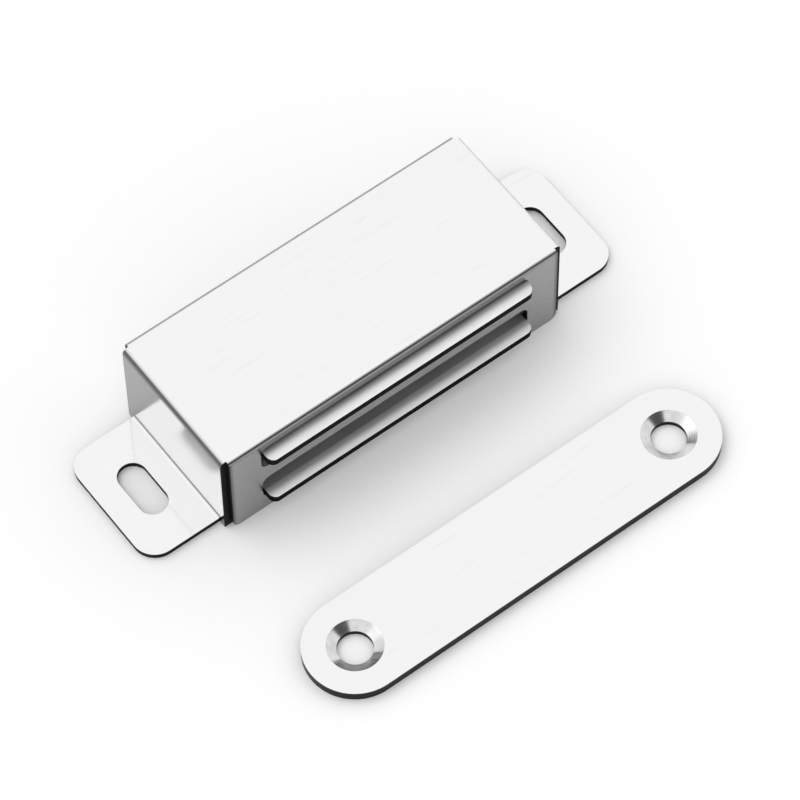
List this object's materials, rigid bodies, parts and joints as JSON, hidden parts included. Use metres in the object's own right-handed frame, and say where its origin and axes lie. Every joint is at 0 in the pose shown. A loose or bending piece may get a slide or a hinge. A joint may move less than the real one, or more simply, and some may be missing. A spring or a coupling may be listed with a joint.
{
  "type": "magnetic catch",
  "caption": "Magnetic cabinet catch: folded stainless box with slotted ears, floating pole plates that stand out of its front, and a flat round-ended strike plate.",
  "frame": {"origin": "middle of the catch's mounting face, halfway between the two ear slots", "axes": "+X along the catch from one ear to the other, -Y out of the pole faces towards the door, +Z away from the mounting face"},
  "size_m": [0.08, 0.0559, 0.0166],
  "materials": {
    "stainless_sheet": "polished",
    "plated_steel": "satin",
    "ferrite": "matt, ground",
    "black_plastic": "moulded",
    "strike_steel": "polished"
  },
  "bodies": {
    "catch": {"shell": "stainless_sheet", "carrier": "black_plastic", "strike_plate": "strike_steel"},
    "magnet_pack": {"lower_pole_plate": "plated_steel", "upper_pole_plate": "plated_steel", "left_magnet": "ferrite", "middle_magnet": "ferrite", "right_magnet": "ferrite"}
  },
  "joints": [
    {"name": "pack_float", "type": "slide", "parent": "catch", "child": "magnet_pack", "axis": [0, 1, 0], "range_m": [0, 0.001]}
  ]
}
